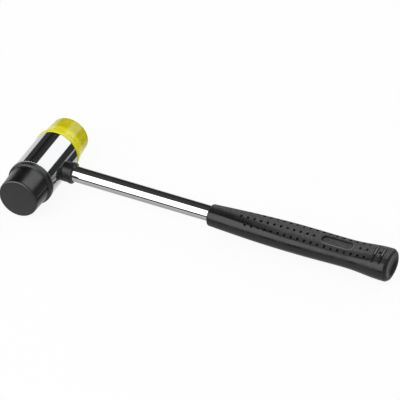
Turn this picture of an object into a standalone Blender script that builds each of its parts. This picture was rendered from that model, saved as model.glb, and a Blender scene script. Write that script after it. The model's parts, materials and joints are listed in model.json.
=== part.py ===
"""Two-faced mallet with screw-in tips, lying on its side. Run it in Blender 4.5.

The tool's own frame: X runs along the handle from the head's axis to the butt, Y along the head
from the rubber tip to the plastic tip, and Z is up. All sizes are in metres. At the end the whole
tool is tilted about Y and lifted, so that it lies on z = 0 on the rims of its tips and on its butt.
"""

import math

import bmesh
import bpy
import numpy as np
from mathutils import Matrix

# Clearance between pieces that touch on the real tool.
FIT_GAP = 0.0003

# Steel head, with a tapped hole in each end and a socket for the handle in its side.
HEAD_DIAMETER = 0.035
HEAD_LENGTH = 0.0401
HANDLE_OFF_CENTRE = 0.0018
HEAD_EDGE_CHAMFER = 0.0005
TAPPED_HOLE_DEPTH = 0.0106
COUNTERSINK = 0.0008
SOCKET_DEPTH = 0.0235
SOCKET_END_ROOM = 0.001

# Threaded studs, moulded into the tips by their heads.
THREAD_DIAMETER = 0.010
THREAD_REACH = 0.0092
STUD_HEAD_DIAMETER = 0.018
STUD_HEAD_THICKNESS = 0.004
STUD_HEAD_FROM_SEAT = 0.0065
STUD_END_CHAMFER = 0.001
STUD_HEAD_CHAMFER = 0.0006

# Tips: a flange that seats on the head, a drawn-in body and a flat striking face.
FLANGE_DIAMETER = 0.0358
FLANGE_EDGE = 0.0007
RUBBER_FLANGE_THICKNESS = 0.0042
RUBBER_NECK_DIAMETER = 0.0325
RUBBER_FACE_DIAMETER = 0.0313
RUBBER_TIP_LENGTH = 0.0243
RUBBER_TAPER_POWER = 1.0
RUBBER_FACE_EDGE = 0.0015
RUBBER_STEP_FILLET = 0.0008
PLASTIC_FLANGE_THICKNESS = 0.0034
PLASTIC_NECK_DIAMETER = 0.0343
PLASTIC_FACE_DIAMETER = 0.0303
PLASTIC_TIP_LENGTH = 0.0234
PLASTIC_TAPER_POWER = 1.5
PLASTIC_FACE_EDGE = 0.0014
PLASTIC_STEP_FILLET = 0.0005

# Handle tube, and the collar where it enters the head.
TUBE_DIAMETER = 0.0122
TUBE_WALL = 0.0012
TUBE_END_CHAMFER = 0.0003
COLLAR_DIAMETER = 0.0156
COLLAR_STANDS_OUT = 0.0069
COLLAR_EDGE = 0.0009
COLLAR_LIP = 0.0004
COLLAR_LIP_LENGTH = 0.0022

# Moulded grip: an oval sleeve that swells, draws in and flares at the butt. Its outside leans a
# little to the tube: its middle is off the tube's axis by these distances towards one side.
GRIP_FROM_HEAD_AXIS = 0.1365
GRIP_LENGTH = 0.1485
GRIP_END_WALL = 0.0075
GRIP_MOUTH_DIAMETER = 0.0160
GRIP_MOUTH_EDGE = 0.0015
SWELL_WIDTH = 0.0224
SWELL_THICKNESS = 0.0199
SWELL_FROM_MOUTH = 0.075
WAIST_WIDTH = 0.0218
WAIST_THICKNESS = 0.0193
WAIST_FROM_BUTT = 0.036
BUTT_WIDTH = 0.0257
BUTT_THICKNESS = 0.0230
FLARE_FROM_BUTT = 0.0044
BUTT_CHAMFER_DEPTH = 0.0014
BUTT_CHAMFER_LENGTH = 0.0022
OVAL_POWER = 2.25
GRIP_ROLL = math.radians(12)
MOUTH_OFF_CENTRE = -0.0007
BUTT_OFF_CENTRE = 0.0011
OFF_CENTRE_SIDE = math.radians(50)

# Bare panel sunk in each cheek of the grip, and the two ribs between it and the butt.
PANEL_LENGTH = 0.0255
PANEL_WIDTH = 0.0070
PANEL_DEPTH = 0.0008
PANEL_FROM_MOUTH = 0.1047
RIB_FROM_BUTT = (0.0124, 0.0065)
RIB_LENGTH = 0.0145
RIB_OFF_CENTRE = -0.0012
RIB_WIDTH = 0.0011
RIB_HEIGHT = 0.0005

# Faces round each form, and steps along its curves.
TIP_SIDES = 56
HEAD_SIDES = 64
TUBE_SIDES = 40
STUD_SIDES = 36
GRIP_SIDES = 48
GRIP_RING_STEP = 0.006
EDGE_STEPS = 3
TAPER_STEPS = 5
CUTTER_OVERRUN = 0.005
WELD = 1e-7

# Places that follow from the sizes.
HEAD_RADIUS = HEAD_DIAMETER / 2
TUBE_RADIUS = TUBE_DIAMETER / 2
THREAD_RADIUS = THREAD_DIAMETER / 2
PLASTIC_END_Y = HEAD_LENGTH / 2 - HANDLE_OFF_CENTRE
RUBBER_END_Y = -HEAD_LENGTH / 2 - HANDLE_OFF_CENTRE
SOCKET_BOTTOM_X = HEAD_RADIUS - SOCKET_DEPTH
TUBE_START_X = SOCKET_BOTTOM_X + SOCKET_END_ROOM
GRIP_END_X = GRIP_FROM_HEAD_AXIS + GRIP_LENGTH
GRIP_BORE_END_X = GRIP_END_X - GRIP_END_WALL
TUBE_END_X = GRIP_BORE_END_X - FIT_GAP

ALONG_X = Matrix.Rotation(math.pi / 2, 4, "Y")
ALONG_PLUS_Y = Matrix.Rotation(-math.pi / 2, 4, "X")
ALONG_MINUS_Y = Matrix.Rotation(math.pi / 2, 4, "X")


def clear_scene():
    for obj in list(bpy.data.objects):
        bpy.data.objects.remove(obj, do_unlink=True)


def material(name, colour, roughness, metallic=0.0, transmission=0.0):
    made = bpy.data.materials.new(name)
    made.use_nodes = True
    shader = made.node_tree.nodes["Principled BSDF"]
    shader.inputs["Base Color"].default_value = (*colour, 1.0)
    shader.inputs["Roughness"].default_value = roughness
    shader.inputs["Metallic"].default_value = metallic
    shader.inputs["Transmission Weight"].default_value = transmission
    return made


def object_from(name, shape, finish=None):
    """Turns a bmesh into an object with smooth faces between sharp edges."""
    bmesh.ops.recalc_face_normals(shape, faces=shape.faces)
    mesh = bpy.data.meshes.new(name)
    shape.to_mesh(mesh)
    shape.free()
    mesh.shade_smooth()
    mesh.set_sharp_from_angle(angle=math.radians(32))
    obj = bpy.data.objects.new(name, mesh)
    bpy.context.scene.collection.objects.link(obj)
    if finish:
        mesh.materials.append(finish)
    return obj


def arc(centre, radius, start, end):
    """Points on a quarter round of a profile, from one angle to another in degrees."""
    angles = np.radians(np.linspace(start, end, EDGE_STEPS + 1))
    return [(centre[0] + radius * math.cos(a), centre[1] + radius * math.sin(a)) for a in angles]


def turned(name, profile, sides, finish=None, ring=False):
    """Spins a profile of (radius, height) points round Z. A ring's profile closes on itself."""
    shape = bmesh.new()
    points = [shape.verts.new((radius, 0.0, height)) for radius, height in profile]
    edges = [shape.edges.new(pair) for pair in zip(points, points[1:])]
    if ring:
        edges.append(shape.edges.new((points[-1], points[0])))
    bmesh.ops.spin(shape, geom=points + edges, axis=(0, 0, 1), angle=math.tau, steps=sides,
                   use_merge=True)
    bmesh.ops.remove_doubles(shape, verts=shape.verts, dist=WELD)
    return object_from(name, shape, finish)


def as_cutter(obj):
    obj.hide_render = True
    obj.display_type = "WIRE"
    return obj


def boolean(obj, other, operation="DIFFERENCE"):
    modifier = obj.modifiers.new(other.name, "BOOLEAN")
    modifier.operation = operation
    modifier.solver = "EXACT"
    modifier.object = other


def place(obj, base, turn, location=(0, 0, 0)):
    obj.parent = base
    obj.matrix_basis = Matrix.Translation(location) @ turn
    return obj


def make_head(base, steel):
    """A turned steel bar, drilled and tapped from both ends and bored from the side."""
    half, edge = HEAD_LENGTH / 2, HEAD_EDGE_CHAMFER
    profile = [(0, -half), (HEAD_RADIUS - edge, -half), (HEAD_RADIUS, -half + edge),
               (HEAD_RADIUS, half - edge), (HEAD_RADIUS - edge, half), (0, half)]
    head = turned("head_body", profile, HEAD_SIDES, steel)
    place(head, base, ALONG_PLUS_Y, (0, -HANDLE_OFF_CENTRE, 0))
    hole = THREAD_RADIUS + FIT_GAP
    drill = [(0, -TAPPED_HOLE_DEPTH), (hole, -TAPPED_HOLE_DEPTH), (hole, -COUNTERSINK),
             (hole + COUNTERSINK, 0), (hole + COUNTERSINK, CUTTER_OVERRUN), (0, CUTTER_OVERRUN)]
    for name, turn, y in (("rubber_tip_hole", ALONG_MINUS_Y, RUBBER_END_Y),
                          ("plastic_tip_hole", ALONG_PLUS_Y, PLASTIC_END_Y)):
        cutter = as_cutter(turned(name, drill, STUD_SIDES))
        boolean(head, place(cutter, base, turn, (0, y, 0)))
    socket = TUBE_RADIUS + FIT_GAP
    borer = [(0, 0), (socket, 0), (socket, SOCKET_DEPTH + CUTTER_OVERRUN),
             (0, SOCKET_DEPTH + CUTTER_OVERRUN)]
    cutter = as_cutter(turned("handle_socket", borer, TUBE_SIDES))
    boolean(head, place(cutter, base, ALONG_X, (SOCKET_BOTTOM_X, 0, 0)))


def make_tube(base, chrome):
    outer, inner, edge = TUBE_RADIUS, TUBE_RADIUS - TUBE_WALL, TUBE_END_CHAMFER
    length = TUBE_END_X - TUBE_START_X
    profile = [(inner, 0), (outer - edge, 0), (outer, edge), (outer, length - edge),
               (outer - edge, length), (inner, length)]
    tube = turned("handle_tube", profile, TUBE_SIDES, chrome, ring=True)
    place(tube, base, ALONG_X, (TUBE_START_X, 0, 0))


def make_collar(base, plastic):
    """A ring on the tube, saddle-cut to the round of the head, with a slightly fuller outer end."""
    inner, outer = TUBE_RADIUS + FIT_GAP, COLLAR_DIAMETER / 2
    full = outer + COLLAR_LIP
    length = HEAD_RADIUS + COLLAR_STANDS_OUT
    profile = [(inner, 0), (outer, 0), (outer, length - COLLAR_LIP_LENGTH - COLLAR_LIP),
               (full, length - COLLAR_LIP_LENGTH)]
    profile += arc((full - COLLAR_EDGE, length - COLLAR_EDGE), COLLAR_EDGE, 0, 90)
    profile.append((inner, length))
    collar = turned("neck_collar", profile, TUBE_SIDES, plastic, ring=True)
    place(collar, base, ALONG_X)
    saddle, reach = HEAD_RADIUS + FIT_GAP, HEAD_LENGTH
    cutter = as_cutter(turned("collar_saddle", [(0, -reach), (saddle, -reach), (saddle, reach),
                                                (0, reach)], HEAD_SIDES))
    boolean(collar, place(cutter, base, ALONG_PLUS_Y))


def tip_profile(flange_thickness, neck, face, length, power, face_edge, fillet):
    """Outline of a tip from its hole at the back to the middle of its face, then its core."""
    hole, core = THREAD_RADIUS + FIT_GAP, STUD_HEAD_DIAMETER / 2 + FIT_GAP
    flange, back, front = FLANGE_DIAMETER / 2, FIT_GAP, FIT_GAP + flange_thickness
    rim = flange - FLANGE_EDGE
    outline = [(hole, back)]
    outline += arc((rim, back + FLANGE_EDGE), FLANGE_EDGE, -90, 0)
    outline += arc((rim, front - FLANGE_EDGE), FLANGE_EDGE, 0, 90)
    outline += arc((neck / 2 + fillet, front + fillet), fillet, 270, 180)
    taper_start, taper_end = front + fillet, FIT_GAP + length - face_edge
    for share in np.linspace(0, 1, TAPER_STEPS + 1)[1:-1]:
        radius = face / 2 + (neck - face) / 2 * (1 - share) ** power
        outline.append((radius, taper_start + share * (taper_end - taper_start)))
    outline += arc((face / 2 - face_edge, taper_end), face_edge, 0, 90)
    outline.append((0, FIT_GAP + length))
    core_back = STUD_HEAD_FROM_SEAT - FIT_GAP
    core_front = STUD_HEAD_FROM_SEAT + STUD_HEAD_THICKNESS + FIT_GAP
    inside = [(0, core_front), (core, core_front), (core, core_back), (hole, core_back),
              (hole, back)]
    return outline, inside


def turned_tip(name, lines, finish):
    """Spins the outside and the core of a tip, which meet at the hole in its back."""
    shape = bmesh.new()
    for profile in lines:
        points = [shape.verts.new((radius, 0.0, height)) for radius, height in profile]
        edges = [shape.edges.new(pair) for pair in zip(points, points[1:])]
        bmesh.ops.spin(shape, geom=points + edges, axis=(0, 0, 1), angle=math.tau,
                       steps=TIP_SIDES, use_merge=True)
    bmesh.ops.remove_doubles(shape, verts=shape.verts, dist=WELD)
    return object_from(name, shape, finish)


def make_tips(base, rubber, plastic):
    """Each tip's origin is on the thread's axis, at the end of the head that it screws on to."""
    rubber_lines = tip_profile(RUBBER_FLANGE_THICKNESS, RUBBER_NECK_DIAMETER,
                               RUBBER_FACE_DIAMETER, RUBBER_TIP_LENGTH, RUBBER_TAPER_POWER,
                               RUBBER_FACE_EDGE, RUBBER_STEP_FILLET)
    plastic_lines = tip_profile(PLASTIC_FLANGE_THICKNESS, PLASTIC_NECK_DIAMETER,
                                PLASTIC_FACE_DIAMETER, PLASTIC_TIP_LENGTH, PLASTIC_TAPER_POWER,
                                PLASTIC_FACE_EDGE, PLASTIC_STEP_FILLET)
    place(turned_tip("rubber_tip", rubber_lines, rubber), base, ALONG_MINUS_Y,
          (0, RUBBER_END_Y, 0))
    place(turned_tip("plastic_tip", plastic_lines, plastic), base, ALONG_PLUS_Y,
          (0, PLASTIC_END_Y, 0))


def make_studs(base, steel):
    """Steel studs: a round head held in the tip, and a thread that reaches into the head."""
    head, edge = STUD_HEAD_DIAMETER / 2, STUD_HEAD_CHAMFER
    back, front = STUD_HEAD_FROM_SEAT, STUD_HEAD_FROM_SEAT + STUD_HEAD_THICKNESS
    profile = [(0, -THREAD_REACH), (THREAD_RADIUS - STUD_END_CHAMFER, -THREAD_REACH),
               (THREAD_RADIUS, STUD_END_CHAMFER - THREAD_REACH), (THREAD_RADIUS, back),
               (head - edge, back), (head, back + edge), (head, front - edge),
               (head - edge, front), (0, front)]
    for name, turn, y in (("rubber_tip_stud", ALONG_MINUS_Y, RUBBER_END_Y),
                          ("plastic_tip_stud", ALONG_PLUS_Y, PLASTIC_END_Y)):
        place(turned(name, profile, STUD_SIDES, steel), base, turn, (0, y, 0))


def grip_size(from_mouth):
    """Width and thickness of the grip's oval, before its mouth and butt are rounded off."""
    waist, flare = GRIP_LENGTH - WAIST_FROM_BUTT, GRIP_LENGTH - FLARE_FROM_BUTT
    if from_mouth < SWELL_FROM_MOUTH:
        share = math.sin(math.pi / 2 * from_mouth / SWELL_FROM_MOUTH)
        return (GRIP_MOUTH_DIAMETER + share * (SWELL_WIDTH - GRIP_MOUTH_DIAMETER),
                GRIP_MOUTH_DIAMETER + share * (SWELL_THICKNESS - GRIP_MOUTH_DIAMETER))
    if from_mouth < waist:
        share = ease((from_mouth - SWELL_FROM_MOUTH) / (waist - SWELL_FROM_MOUTH))
        return (SWELL_WIDTH + share * (WAIST_WIDTH - SWELL_WIDTH),
                SWELL_THICKNESS + share * (WAIST_THICKNESS - SWELL_THICKNESS))
    share = ease((from_mouth - waist) / (flare - waist))
    return (WAIST_WIDTH + share * (BUTT_WIDTH - WAIST_WIDTH),
            WAIST_THICKNESS + share * (BUTT_THICKNESS - WAIST_THICKNESS))


def ease(share):
    return (1 - math.cos(math.pi * min(max(share, 0.0), 1.0))) / 2


def grip_middle(from_mouth):
    """The middle of the grip's oval. The grip's outside leans a little to the tube."""
    off = MOUTH_OFF_CENTRE + (BUTT_OFF_CENTRE - MOUTH_OFF_CENTRE) * from_mouth / GRIP_LENGTH
    return (GRIP_FROM_HEAD_AXIS + from_mouth, off * math.cos(OFF_CENTRE_SIDE),
            off * math.sin(OFF_CENTRE_SIDE))


def oval_point(width, thickness, angle):
    """A point on the grip's oval, which is fuller than an ellipse, turned by the grip's roll."""
    power = 2 / OVAL_POWER
    across = width / 2 * math.copysign(abs(math.cos(angle)) ** power, math.cos(angle))
    up = thickness / 2 * math.copysign(abs(math.sin(angle)) ** power, math.sin(angle))
    return (across * math.cos(GRIP_ROLL) - up * math.sin(GRIP_ROLL),
            across * math.sin(GRIP_ROLL) + up * math.cos(GRIP_ROLL))


def grip_rings():
    """(distance from mouth, inset) of each ring of the loft, from the mouth to the butt."""
    lip = [(GRIP_MOUTH_EDGE - along, GRIP_MOUTH_EDGE - out)
           for out, along in arc((0, 0), GRIP_MOUTH_EDGE, 90, 0)]
    body_end = GRIP_LENGTH - BUTT_CHAMFER_LENGTH
    count = math.ceil((body_end - GRIP_MOUTH_EDGE) / GRIP_RING_STEP)
    body = [(along, 0.0) for along in np.linspace(GRIP_MOUTH_EDGE, body_end, count + 1)[1:]]
    return lip + body + [(GRIP_LENGTH, BUTT_CHAMFER_DEPTH)]


def panel_cutter(name, side):
    """A round-ended block that sinks the bare panel into one cheek of the grip."""
    thickness = grip_size(PANEL_FROM_MOUTH)[1]
    floor = side * (thickness / 2 - PANEL_DEPTH)
    straight, radius = (PANEL_LENGTH - PANEL_WIDTH) / 2, PANEL_WIDTH / 2
    end = arc((straight, 0), radius, -90, 0) + arc((straight, 0), radius, 0, 90)[1:]
    outline = end + [(-x, -y) for x, y in end]
    shape = bmesh.new()
    face = shape.faces.new([shape.verts.new((x, y, floor)) for x, y in outline])
    walls = bmesh.ops.extrude_face_region(shape, geom=[face])
    top = [item for item in walls["geom"] if isinstance(item, bmesh.types.BMVert)]
    bmesh.ops.translate(shape, verts=top, vec=(0, 0, side * CUTTER_OVERRUN))
    return as_cutter(object_from(name, shape))


def add_ribs(grip, base):
    """Two raised bars across each cheek, in front of the butt, sunk into the grip at their roots."""
    for number, from_butt in enumerate(RIB_FROM_BUTT):
        from_mouth = GRIP_LENGTH - from_butt
        width, thickness = grip_size(from_mouth)
        shape = bmesh.new()
        bmesh.ops.create_cube(shape, size=1.0)
        scale = (RIB_WIDTH, RIB_LENGTH, thickness + 2 * RIB_HEIGHT)
        bmesh.ops.scale(shape, vec=scale, verts=shape.verts)
        bmesh.ops.translate(shape, vec=(0, RIB_OFF_CENTRE, 0), verts=shape.verts)
        rib = as_cutter(object_from(f"grip_rib_{number + 1}", shape))
        place(rib, base, Matrix.Rotation(GRIP_ROLL, 4, "X"), grip_middle(from_mouth))
        boolean(rib, rib_limit(f"grip_rib_limit_{number + 1}", base, from_mouth, width, thickness),
                "INTERSECT")
        boolean(grip, rib, "UNION")


def rib_limit(name, base, from_mouth, width, thickness):
    """An oval slice a rib's height larger than the grip, which rounds the ends of the rib."""
    shape = bmesh.new()
    outline = []
    for number in range(GRIP_SIDES):
        y, z = oval_point(width + 2 * RIB_HEIGHT, thickness + 2 * RIB_HEIGHT,
                          math.tau * number / GRIP_SIDES)
        outline.append(shape.verts.new((-RIB_WIDTH, y, z)))
    face = shape.faces.new(outline)
    walls = bmesh.ops.extrude_face_region(shape, geom=[face])
    far = [item for item in walls["geom"] if isinstance(item, bmesh.types.BMVert)]
    bmesh.ops.translate(shape, verts=far, vec=(2 * RIB_WIDTH, 0, 0))
    limit = as_cutter(object_from(name, shape))
    return place(limit, base, Matrix.Identity(4), grip_middle(from_mouth))


def make_grip(base, soft_black):
    """Lofts the oval sleeve, then bores it for the tube and sinks and raises its cheek details."""
    shape = bmesh.new()
    rings = []
    for from_mouth, inset in grip_rings():
        width, thickness = grip_size(from_mouth)
        along, middle_y, middle_z = grip_middle(from_mouth)
        ring = []
        for number in range(GRIP_SIDES):
            y, z = oval_point(width - 2 * inset, thickness - 2 * inset,
                              math.tau * number / GRIP_SIDES)
            ring.append(shape.verts.new((along, middle_y + y, middle_z + z)))
        rings.append(ring)
    for near, far in zip(rings, rings[1:]):
        for number in range(GRIP_SIDES):
            after = (number + 1) % GRIP_SIDES
            shape.faces.new((near[number], near[after], far[after], far[number]))
    shape.faces.new(rings[0])
    shape.faces.new(rings[-1])
    grip = object_from("grip_sleeve", shape, soft_black)
    place(grip, base, Matrix.Identity(4))
    add_ribs(grip, base)
    bore, depth = TUBE_RADIUS + FIT_GAP, GRIP_BORE_END_X - GRIP_FROM_HEAD_AXIS
    cutter = as_cutter(turned("grip_bore", [(0, -CUTTER_OVERRUN), (bore, -CUTTER_OVERRUN),
                                            (bore, depth), (0, depth)], TUBE_SIDES))
    boolean(grip, place(cutter, base, ALONG_X, (GRIP_FROM_HEAD_AXIS, 0, 0)))
    for name, side in (("upper_panel", 1), ("lower_panel", -1)):
        cutter = panel_cutter(name, side)
        boolean(grip, place(cutter, base, Matrix.Rotation(GRIP_ROLL, 4, "X"),
                            grip_middle(PANEL_FROM_MOUTH)))


def world_points(names):
    """Every point of the finished meshes in world space, in rows."""
    graph = bpy.context.evaluated_depsgraph_get()
    found = []
    for name in names:
        evaluated = bpy.data.objects[name].evaluated_get(graph)
        mesh = evaluated.to_mesh()
        points = np.empty(3 * len(mesh.vertices), np.float32)
        mesh.vertices.foreach_get("co", points)
        world = np.array(evaluated.matrix_world, np.float64)
        found.append(points.reshape(-1, 3) @ world[:3, :3].T + world[:3, 3])
        evaluated.to_mesh_clear()
    return np.concatenate(found)


def settle(base, names):
    """Tilts the handle down until the butt is as low as the rims of the tips, then stands the
    tool on z = 0 with the middle of its box on the origin."""
    bpy.context.view_layer.update()
    grip = world_points(["grip_sleeve"])
    low, high = 0.0, math.radians(10)
    while high - low > 1e-7:
        tilt = (low + high) / 2
        lowest = (grip[:, 2] * math.cos(tilt) - grip[:, 0] * math.sin(tilt)).min()
        low, high = (tilt, high) if lowest > -FLANGE_DIAMETER / 2 else (low, tilt)
    base.rotation_euler = (0, low, 0)
    bpy.context.view_layer.update()
    points = world_points(names)
    centre = (points.min(axis=0) + points.max(axis=0)) / 2
    base.location = (-centre[0], -centre[1], -points[:, 2].min())
    bpy.context.view_layer.update()
    return math.degrees(low)


clear_scene()
mallet = bpy.data.objects.new("mallet", None)
bpy.context.scene.collection.objects.link(mallet)
make_head(mallet, material("chromed_steel", (0.72, 0.73, 0.75), 0.06, metallic=1.0))
make_tube(mallet, material("chromed_tube", (0.72, 0.73, 0.75), 0.08, metallic=1.0))
make_collar(mallet, material("black_plastic", (0.012, 0.012, 0.013), 0.45))
make_studs(mallet, material("zinc_plated_steel", (0.56, 0.57, 0.58), 0.30, metallic=1.0))
make_tips(mallet, material("black_rubber", (0.016, 0.016, 0.017), 0.55),
          material("clear_yellow_plastic", (0.80, 0.74, 0.0), 0.12, transmission=0.6))
make_grip(mallet, material("soft_black_vinyl", (0.020, 0.020, 0.021), 0.50))
nodes = ["head_body", "handle_tube", "neck_collar", "grip_sleeve", "rubber_tip",
         "rubber_tip_stud", "plastic_tip", "plastic_tip_stud"]
print(f"The handle is tilted by {settle(mallet, nodes):.3f} degrees")
for place_name, spot in (("head axis under the handle", (0, 0, 0)),
                         ("seat of the rubber tip", (0, RUBBER_END_Y, 0)),
                         ("seat of the plastic tip", (0, PLASTIC_END_Y, 0)),
                         ("butt on the tube's axis", (GRIP_END_X, 0, 0)),
                         ("rubber face", (0, RUBBER_END_Y - FIT_GAP - RUBBER_TIP_LENGTH, 0)),
                         ("plastic face", (0, PLASTIC_END_Y + FIT_GAP + PLASTIC_TIP_LENGTH, 0))):
    point = mallet.matrix_world @ Matrix.Translation(spot).to_translation()
    print(f"{place_name}: {point.x:.6f} {point.y:.6f} {point.z:.6f}")
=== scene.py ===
# %% [markdown]
# # A two-faced mallet with screw-in tips
# A packed, plain model of the mallet is the frame here: it gives each piece's box and every joint.
# This script gives each of its eight pieces the shape and surface that the real one has, and sets
# up a small photographic studio round it. All sizes are real, written as millimetres times MM.

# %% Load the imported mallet
import json
import math

import bmesh
import bpy
import numpy as np
from mathutils import Matrix, Vector


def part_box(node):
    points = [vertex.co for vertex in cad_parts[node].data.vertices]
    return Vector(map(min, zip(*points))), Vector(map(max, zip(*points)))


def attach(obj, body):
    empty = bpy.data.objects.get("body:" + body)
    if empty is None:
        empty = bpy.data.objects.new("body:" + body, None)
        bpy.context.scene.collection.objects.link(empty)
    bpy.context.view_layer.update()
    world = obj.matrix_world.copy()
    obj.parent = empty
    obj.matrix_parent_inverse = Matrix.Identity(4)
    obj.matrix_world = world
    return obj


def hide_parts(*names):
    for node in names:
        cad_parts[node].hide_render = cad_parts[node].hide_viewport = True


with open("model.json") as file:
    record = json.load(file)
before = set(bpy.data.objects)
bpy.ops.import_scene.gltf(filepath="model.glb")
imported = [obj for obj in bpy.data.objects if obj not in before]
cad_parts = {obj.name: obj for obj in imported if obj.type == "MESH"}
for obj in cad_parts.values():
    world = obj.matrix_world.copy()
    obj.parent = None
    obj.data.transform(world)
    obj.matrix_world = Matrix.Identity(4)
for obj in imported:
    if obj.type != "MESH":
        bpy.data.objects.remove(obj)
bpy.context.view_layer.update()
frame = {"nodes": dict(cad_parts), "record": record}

print("Packed pieces:", ", ".join(sorted(frame["nodes"])))

# %% [markdown]
# ## The tool's own frame
# It is easier to model along the tool than along the world, because the handle slopes a little
# when the mallet lies down. X runs along the handle from the head's axis, Y along the head towards
# the clear tip, and Z is up. The three flat faces that the record lists give this frame, so it
# isn't placed by eye.

# %% Find the tool's frame from the record
MM = 0.001
faces = {mount["name"]: mount for mount in frame["record"]["mounts"]}
handle_axis = Vector(faces["butt_face"]["axis"]).normalized()
head_axis = Vector(faces["plastic_face"]["axis"]).normalized()
head_centre = Vector((faces["rubber_face"]["pos_m"][0], faces["butt_face"]["pos_m"][1],
                      faces["rubber_face"]["pos_m"][2]))
upward = handle_axis.cross(head_axis)
to_world = Matrix((handle_axis, head_axis, upward)).transposed()
TOOL = Matrix.Translation(head_centre) @ to_world.to_4x4()
print("The handle crosses the head's axis at", [round(value / MM, 2) for value in head_centre], "mm")

# %% [markdown]
# ## Four small helpers
# Screens show sRGB colours and shaders work in linear light, so every colour below is a hex code
# that one function converts. The second helper adds a node to any tree, shader or geometry, with its
# settings, values and links in one call. The others start an empty material and put a mesh, a lamp
# or a camera into the scene.

# %% Colour, node, material and object helpers
def colour(code):
    """Turns an sRGB hex code such as D9DCE0 into the linear values that shaders use."""
    parts = [int(code[place:place + 2], 16) / 255 for place in (0, 2, 4)]
    return (*[part / 12.92 if part <= 0.04045 else ((part + 0.055) / 1.055) ** 2.4
              for part in parts], 1.0)


def add(tree, kind, inputs=None, **settings):
    """Adds a node. Inputs maps a socket's name or number to a value or to another node's output."""
    node = tree.nodes.new(kind)
    for name, value in settings.items():
        setattr(node, name, value)
    for key, value in (inputs or {}).items():
        if isinstance(value, bpy.types.NodeSocket):
            tree.links.new(value, node.inputs[key])
        else:
            node.inputs[key].default_value = value
    return node


def finish_named(name):
    """A new material and its tree, emptied except for the output."""
    made = bpy.data.materials.new(name)
    made.use_nodes = True
    made.node_tree.nodes.clear()
    return made, made.node_tree


def in_scene(name, data):
    """A new object in the scene for a mesh, a lamp or a camera."""
    obj = bpy.data.objects.new(name, data)
    bpy.context.scene.collection.objects.link(obj)
    return obj


print("Chrome's base colour in linear light:", [round(part, 3) for part in colour("D9DCE0")])

# %% [markdown]
# ## The camera
# The photograph was taken from above the rubber tip's side with a long lens, so parallel edges stay
# parallel. Three directions describe the view: right, up and towards the camera. The camera stands
# 10 m away with a very long lens, and the whole tool fits a frame about 296 mm wide.

# %% Set up the camera
PICTURE = 400
PIXELS_PER_METRE = 1350
HEAD_CENTRE_PIXEL = (44.6, 164.65)
CAMERA_DISTANCE = 10.0
SENSOR = 36.0
MIDDLE_DEPTH = 0.045
view_right = Vector((0.8996, 0.4368, 0.0))
view_up = Vector((-0.2657, 0.5471, 0.7934))
view_back = view_right.cross(view_up).normalized()

turn = to_world @ Matrix((view_right, view_up, view_back)).transposed()
picture_centre = (head_centre
                  + turn.col[0] * (PICTURE / 2 - HEAD_CENTRE_PIXEL[0]) / PIXELS_PER_METRE
                  - turn.col[1] * (PICTURE / 2 - HEAD_CENTRE_PIXEL[1]) / PIXELS_PER_METRE)
lens = bpy.data.cameras.new("long_lens")
lens.sensor_width = SENSOR
lens.lens = SENSOR * (CAMERA_DISTANCE - MIDDLE_DEPTH) * PIXELS_PER_METRE / PICTURE
camera = in_scene("camera", lens)
camera.matrix_world = (Matrix.Translation(picture_centre + turn.col[2] * CAMERA_DISTANCE)
                       @ turn.to_4x4())
bpy.context.scene.camera = camera
bpy.context.scene.view_settings.view_transform = "Standard"
print(f"Focal length {lens.lens:.0f} mm at {CAMERA_DISTANCE:.0f} m")

# %% [markdown]
# ## The table
# The photograph has a plain white background. The table is lit like any surface and keeps the
# mallet's shadow, but for the camera most of its brightness is its own, so that it stays white.
# It is hidden from mirror reflections, because the studio below paints what the chrome sees.

# %% Lay the table
TABLE_SIZE = 6.0
TABLE_OWN_LIGHT = 0.92

white, tree = finish_named("white_table")
rays = add(tree, "ShaderNodeLightPath")
camera_share = add(tree, "ShaderNodeMath", {0: rays.outputs["Is Camera Ray"], 1: TABLE_OWN_LIGHT},
                   operation="MULTIPLY")
own_share = add(tree, "ShaderNodeMath", {0: camera_share.outputs[0],
                                         1: rays.outputs["Is Transmission Ray"]},
                operation="MAXIMUM")
matt = add(tree, "ShaderNodeBsdfDiffuse", {"Color": colour("FAFAFA")})
glow = add(tree, "ShaderNodeEmission", {"Color": colour("FFFFFF"), "Strength": 1.0})
mixed = add(tree, "ShaderNodeMixShader", {0: own_share.outputs[0], 1: matt.outputs[0],
                                          2: glow.outputs[0]})
add(tree, "ShaderNodeOutputMaterial", {"Surface": mixed.outputs[0]})

half = TABLE_SIZE / 2
mesh = bpy.data.meshes.new("table")
mesh.from_pydata([(-half, -half, 0), (half, -half, 0), (half, half, 0), (-half, half, 0)], [],
                 [(0, 1, 2, 3)])
mesh.materials.append(white)
table = in_scene("table", mesh)
table.visible_glossy = False
print("The table is", TABLE_SIZE, "m wide")

# %% [markdown]
# ## What the chrome sees
# Chrome has no colour of its own: it shows the studio. In the photograph each cylinder carries
# straight bands, which are soft boxes, black cards and white cards seen in it. A band's place across
# a cylinder depends only on the angle round that cylinder's axis. So the world is painted for
# mirror rays with lists of bands, one by the angle round the head's axis and one by the angle round
# the handle's, and everything else is lit by an even white. Beyond the butt the soft boxes end, and
# a third list shows the quieter rest of the room, so that the chrome has an outline from behind too.

# %% Bands by angle
BAND_EDGE = 1.6
HEAD_BOX = 1.46
HANDLE_BOX = 2.60
ROUND_HEAD = [(0, 0.040), (28, HEAD_BOX), (96, 0.045), (118, 0.034), (127, 0.018), (140, 0.052),
              (171, 0.85), (286, 0.64), (310, 0.045), (346.5, 0.52), (354, 0.040)]
ROUND_HANDLE = [(0, 0.30), (6, 0.065), (113, HANDLE_BOX), (188, 0.04), (208, 0.66), (236, 0.52),
                (268, 0.62), (325, 0.30)]
ROUND_ROOM = [(0, 0.42), (38, 0.10), (74, 0.30), (100, 0.62), (138, 0.12), (172, 0.45),
              (215, 0.60), (300, 0.25)]


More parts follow.
